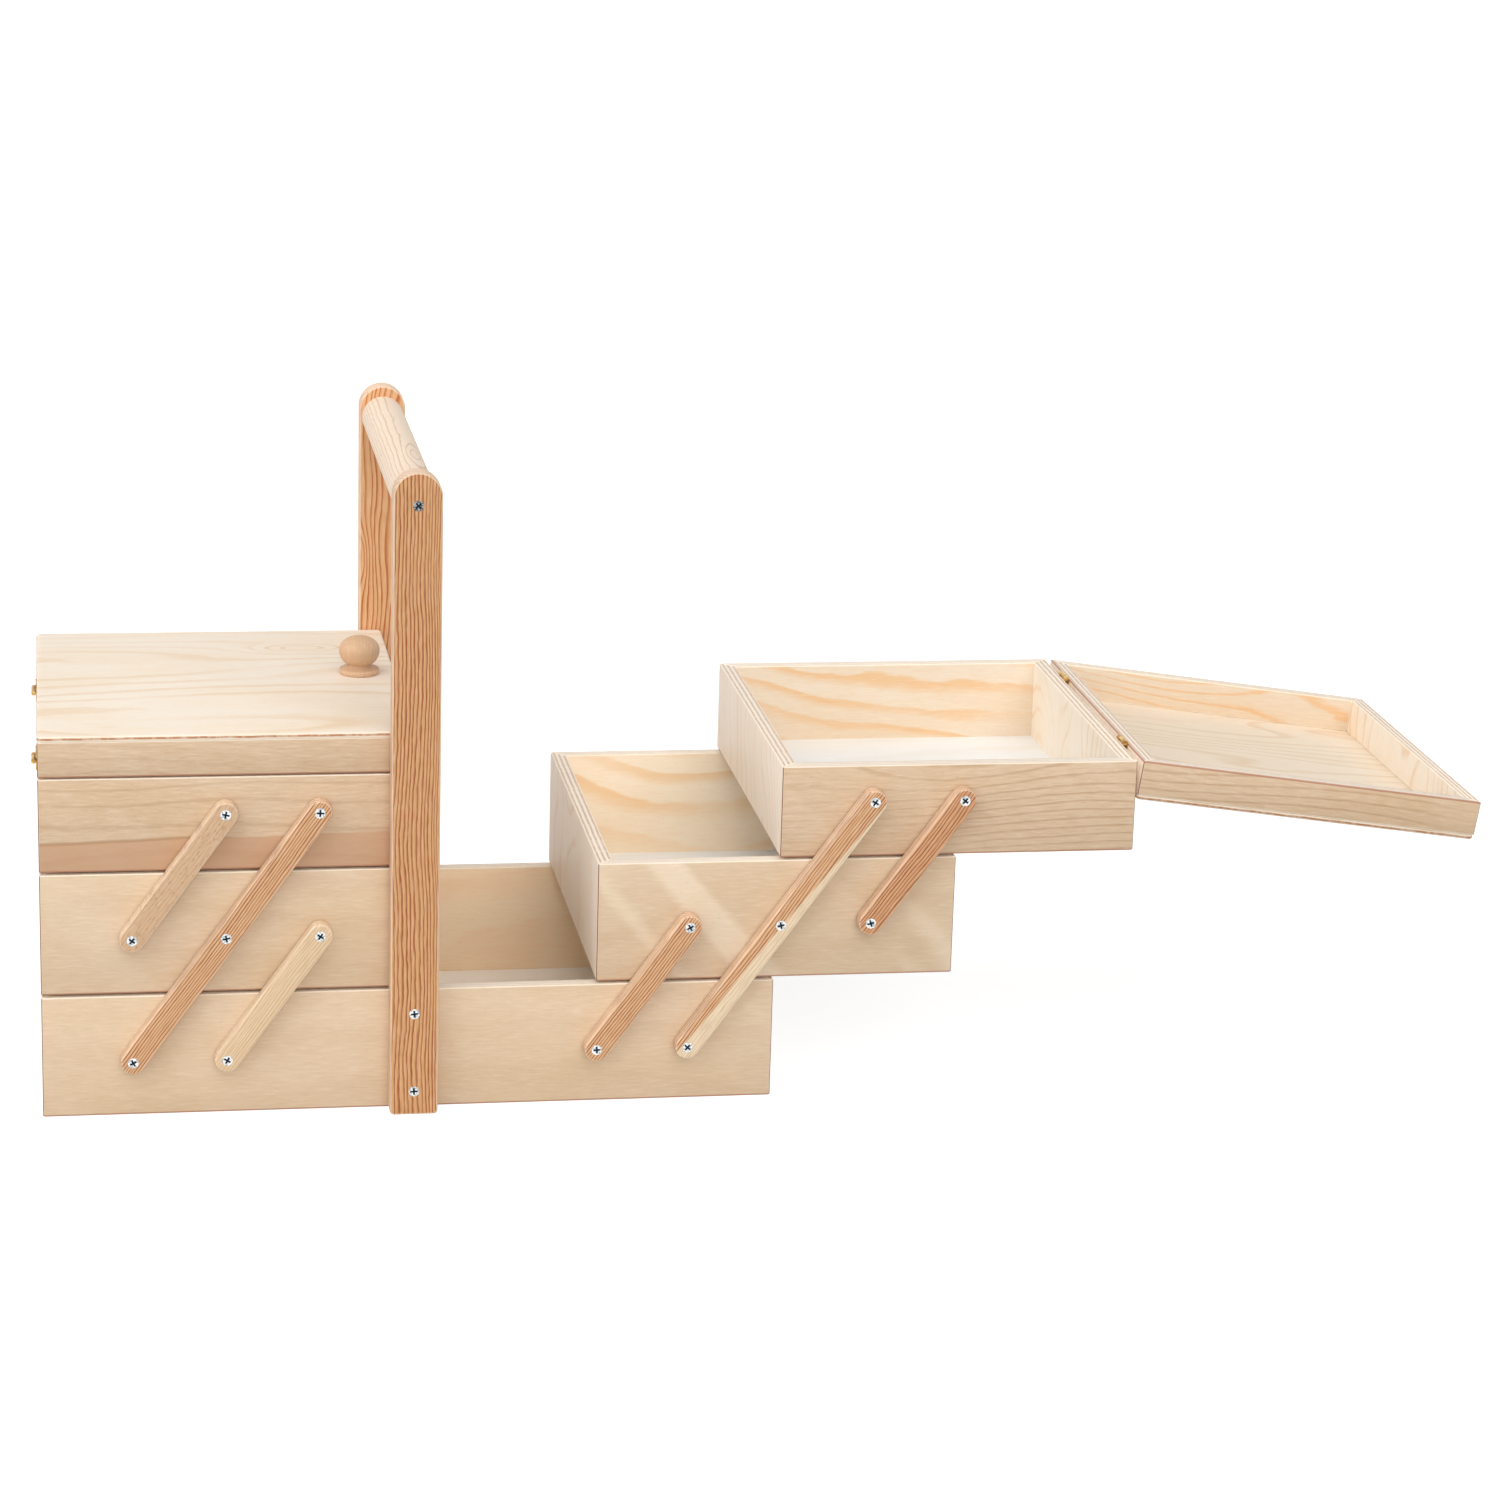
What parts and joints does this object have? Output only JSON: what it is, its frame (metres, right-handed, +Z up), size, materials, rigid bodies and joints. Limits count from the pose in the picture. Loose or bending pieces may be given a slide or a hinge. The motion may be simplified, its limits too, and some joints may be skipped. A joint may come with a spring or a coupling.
{
  "type": "wooden sewing box",
  "caption": "Three-tier fold-out wooden sewing box with swing-arm trays, hinged lids and a round carrying handle.",
  "frame": {"origin": "centre of the base's underside", "axes": "+X along the box towards the side that is folded out, +Y from front to back, +Z up"},
  "size_m": [0.8458, 0.263, 0.3763],
  "materials": {
    "pale_board": "bare sanded pale plywood with fine lengthways grain and eased edges",
    "pale_floor": "bare thin pale plywood",
    "lid_panel_ply": "bare thin plywood panel, smooth sanded, rounded edge",
    "striped_pine": "bare pine with bold orange-brown growth lines along the bar",
    "handle_wood": "bare round wooden dowel with faint fine grain",
    "turned_beech": "smooth turned hardwood with fine flecks",
    "zinc_screw": "bright zinc plated",
    "brass_hinge": "bright rolled brass"
  },
  "bodies": {
    "base": {"base_front_wall": "pale_board", "base_back_wall": "pale_board", "base_end_walls": "pale_board", "base_floor": "pale_floor", "front_post": "striped_pine", "back_post": "striped_pine", "handle_bar": "handle_wood", "base_pivot_screws": "zinc_screw", "post_screws": "zinc_screw"},
    "left_long_arm_front": {"left_long_arm_front": "striped_pine"},
    "left_long_arm_back": {"left_long_arm_back": "striped_pine"},
    "left_lower_arm_front": {"left_lower_arm_front": "striped_pine"},
    "left_lower_arm_back": {"left_lower_arm_back": "striped_pine"},
    "left_upper_arm_front": {"left_upper_arm_front": "striped_pine"},
    "left_upper_arm_back": {"left_upper_arm_back": "striped_pine"},
    "left_middle_tray": {"left_middle_tray_front_wall": "pale_board", "left_middle_tray_back_wall": "pale_board", "left_middle_tray_end_walls": "pale_board", "left_middle_tray_floor": "pale_floor", "left_middle_pivot_screws": "zinc_screw"},
    "left_top_tray": {"left_top_tray_front_wall": "pale_board", "left_top_tray_back_wall": "pale_board", "left_top_tray_end_walls": "pale_board", "left_top_tray_floor": "pale_floor", "left_top_pivot_screws": "zinc_screw", "left_hinge_tray_leaves": "brass_hinge", "left_hinge_tray_screws": "brass_hinge", "left_hinge_pins": "brass_hinge"},
    "left_lid": {"left_lid_side_rails": "pale_board", "left_lid_end_rails": "pale_board", "left_lid_panel": "lid_panel_ply", "left_lid_knob": "turned_beech", "left_hinge_lid_leaves": "brass_hinge", "left_hinge_lid_screws": "brass_hinge"},
    "right_long_arm_front": {"right_long_arm_front": "striped_pine"},
    "right_long_arm_back": {"right_long_arm_back": "striped_pine"},
    "right_lower_arm_front": {"right_lower_arm_front": "striped_pine"},
    "right_lower_arm_back": {"right_lower_arm_back": "striped_pine"},
    "right_upper_arm_front": {"right_upper_arm_front": "striped_pine"},
    "right_upper_arm_back": {"right_upper_arm_back": "striped_pine"},
    "right_middle_tray": {"right_middle_tray_front_wall": "pale_board", "right_middle_tray_back_wall": "pale_board", "right_middle_tray_end_walls": "pale_board", "right_middle_tray_floor": "pale_floor", "right_middle_pivot_screws": "zinc_screw"},
    "right_top_tray": {"right_top_tray_front_wall": "pale_board", "right_top_tray_back_wall": "pale_board", "right_top_tray_end_walls": "pale_board", "right_top_tray_floor": "pale_floor", "right_top_pivot_screws": "zinc_screw", "right_hinge_tray_leaves": "brass_hinge", "right_hinge_tray_screws": "brass_hinge", "right_hinge_pins": "brass_hinge"},
    "right_lid": {"right_lid_side_rails": "pale_board", "right_lid_end_rails": "pale_board", "right_lid_panel": "lid_panel_ply", "right_lid_knob": "turned_beech", "right_hinge_lid_leaves": "brass_hinge", "right_hinge_lid_screws": "brass_hinge"}
  },
  "joints": [
    {"name": "left_arm_swing", "type": "hinge", "parent": "base", "child": "left_long_arm_front", "pos_m": [-0.159, 0, 0.0344], "axis": [0, -1, 0], "range_deg": [0, 71.76]},
    {"name": "left_long_arm_back_swing", "type": "hinge", "parent": "base", "child": "left_long_arm_back", "pos_m": [-0.159, 0, 0.0344], "axis": [0, -1, 0], "range_deg": [0, 71.76]},
    {"name": "left_lower_arm_front_swing", "type": "hinge", "parent": "base", "child": "left_lower_arm_front", "pos_m": [-0.106, 0, 0.0344], "axis": [0, -1, 0], "range_deg": [0, 71.76]},
    {"name": "left_lower_arm_back_swing", "type": "hinge", "parent": "base", "child": "left_lower_arm_back", "pos_m": [-0.106, 0, 0.0344], "axis": [0, -1, 0], "range_deg": [0, 71.76]},
    {"name": "left_middle_tray_pivot", "type": "hinge", "parent": "left_long_arm_front", "child": "left_middle_tray", "pos_m": [-0.1062, 0, 0.1074], "axis": [0, -1, 0], "range_deg": [-71.76, 0]},
    {"name": "left_top_tray_pivot", "type": "hinge", "parent": "left_long_arm_front", "child": "left_top_tray", "pos_m": [-0.0534, 0, 0.1804], "axis": [0, -1, 0], "range_deg": [-71.76, 0]},
    {"name": "left_upper_arm_front_swing", "type": "hinge", "parent": "left_middle_tray", "child": "left_upper_arm_front", "pos_m": [-0.159, 0, 0.1074], "axis": [0, -1, 0], "range_deg": [0, 71.76]},
    {"name": "left_upper_arm_back_swing", "type": "hinge", "parent": "left_middle_tray", "child": "left_upper_arm_back", "pos_m": [-0.159, 0, 0.1074], "axis": [0, -1, 0], "range_deg": [0, 71.76]},
    {"name": "left_lid_hinge", "type": "hinge", "parent": "left_top_tray", "child": "left_lid", "pos_m": [-0.21195, 0, 0.2004], "axis": [0, -1, 0], "range_deg": [0, 188]},
    {"name": "right_arm_swing", "type": "hinge", "parent": "base", "child": "right_long_arm_front", "pos_m": [0.159, 0, 0.0344], "axis": [0, 1, 0], "range_deg": [-71.76, 0]},
    {"name": "right_long_arm_back_swing", "type": "hinge", "parent": "base", "child": "right_long_arm_back", "pos_m": [0.159, 0, 0.0344], "axis": [0, 1, 0], "range_deg": [-71.76, 0]},
    {"name": "right_lower_arm_front_swing", "type": "hinge", "parent": "base", "child": "right_lower_arm_front", "pos_m": [0.106, 0, 0.0344], "axis": [0, 1, 0], "range_deg": [-71.76, 0]},
    {"name": "right_lower_arm_back_swing", "type": "hinge", "parent": "base", "child": "right_lower_arm_back", "pos_m": [0.106, 0, 0.0344], "axis": [0, 1, 0], "range_deg": [-71.76, 0]},
    {"name": "right_middle_tray_pivot", "type": "hinge", "parent": "right_long_arm_front", "child": "right_middle_tray", "pos_m": [0.2118, 0, 0.1074], "axis": [0, 1, 0], "range_deg": [0, 71.76]},
    {"name": "right_top_tray_pivot", "type": "hinge", "parent": "right_long_arm_front", "child": "right_top_tray", "pos_m": [0.2646, 0, 0.1804], "axis": [0, 1, 0], "range_deg": [0, 71.76]},
    {"name": "right_upper_arm_front_swing", "type": "hinge", "parent": "right_middle_tray", "child": "right_upper_arm_front", "pos_m": [0.2646, 0, 0.1074], "axis": [0, 1, 0], "range_deg": [-71.76, 0]},
    {"name": "right_upper_arm_back_swing", "type": "hinge", "parent": "right_middle_tray", "child": "right_upper_arm_back", "pos_m": [0.2646, 0, 0.1074], "axis": [0, 1, 0], "range_deg": [-71.76, 0]},
    {"name": "right_lid_hinge", "type": "hinge", "parent": "right_top_tray", "child": "right_lid", "pos_m": [0.42315, 0, 0.2004], "axis": [0, 1, 0], "range_deg": [-188, 0]}
  ],
  "couplings": [
    {"joint": "left_long_arm_back_swing", "follows": "left_arm_swing", "ratio": 1},
    {"joint": "left_lower_arm_front_swing", "follows": "left_arm_swing", "ratio": 1},
    {"joint": "left_lower_arm_back_swing", "follows": "left_arm_swing", "ratio": 1},
    {"joint": "left_middle_tray_pivot", "follows": "left_arm_swing", "ratio": -1},
    {"joint": "left_top_tray_pivot", "follows": "left_arm_swing", "ratio": -1},
    {"joint": "left_upper_arm_front_swing", "follows": "left_arm_swing", "ratio": 1},
    {"joint": "left_upper_arm_back_swing", "follows": "left_arm_swing", "ratio": 1},
    {"joint": "right_long_arm_back_swing", "follows": "right_arm_swing", "ratio": 1},
    {"joint": "right_lower_arm_front_swing", "follows": "right_arm_swing", "ratio": 1},
    {"joint": "right_lower_arm_back_swing", "follows": "right_arm_swing", "ratio": 1},
    {"joint": "right_middle_tray_pivot", "follows": "right_arm_swing", "ratio": -1},
    {"joint": "right_top_tray_pivot", "follows": "right_arm_swing", "ratio": -1},
    {"joint": "right_upper_arm_front_swing", "follows": "right_arm_swing", "ratio": 1},
    {"joint": "right_upper_arm_back_swing", "follows": "right_arm_swing", "ratio": 1}
  ]
}
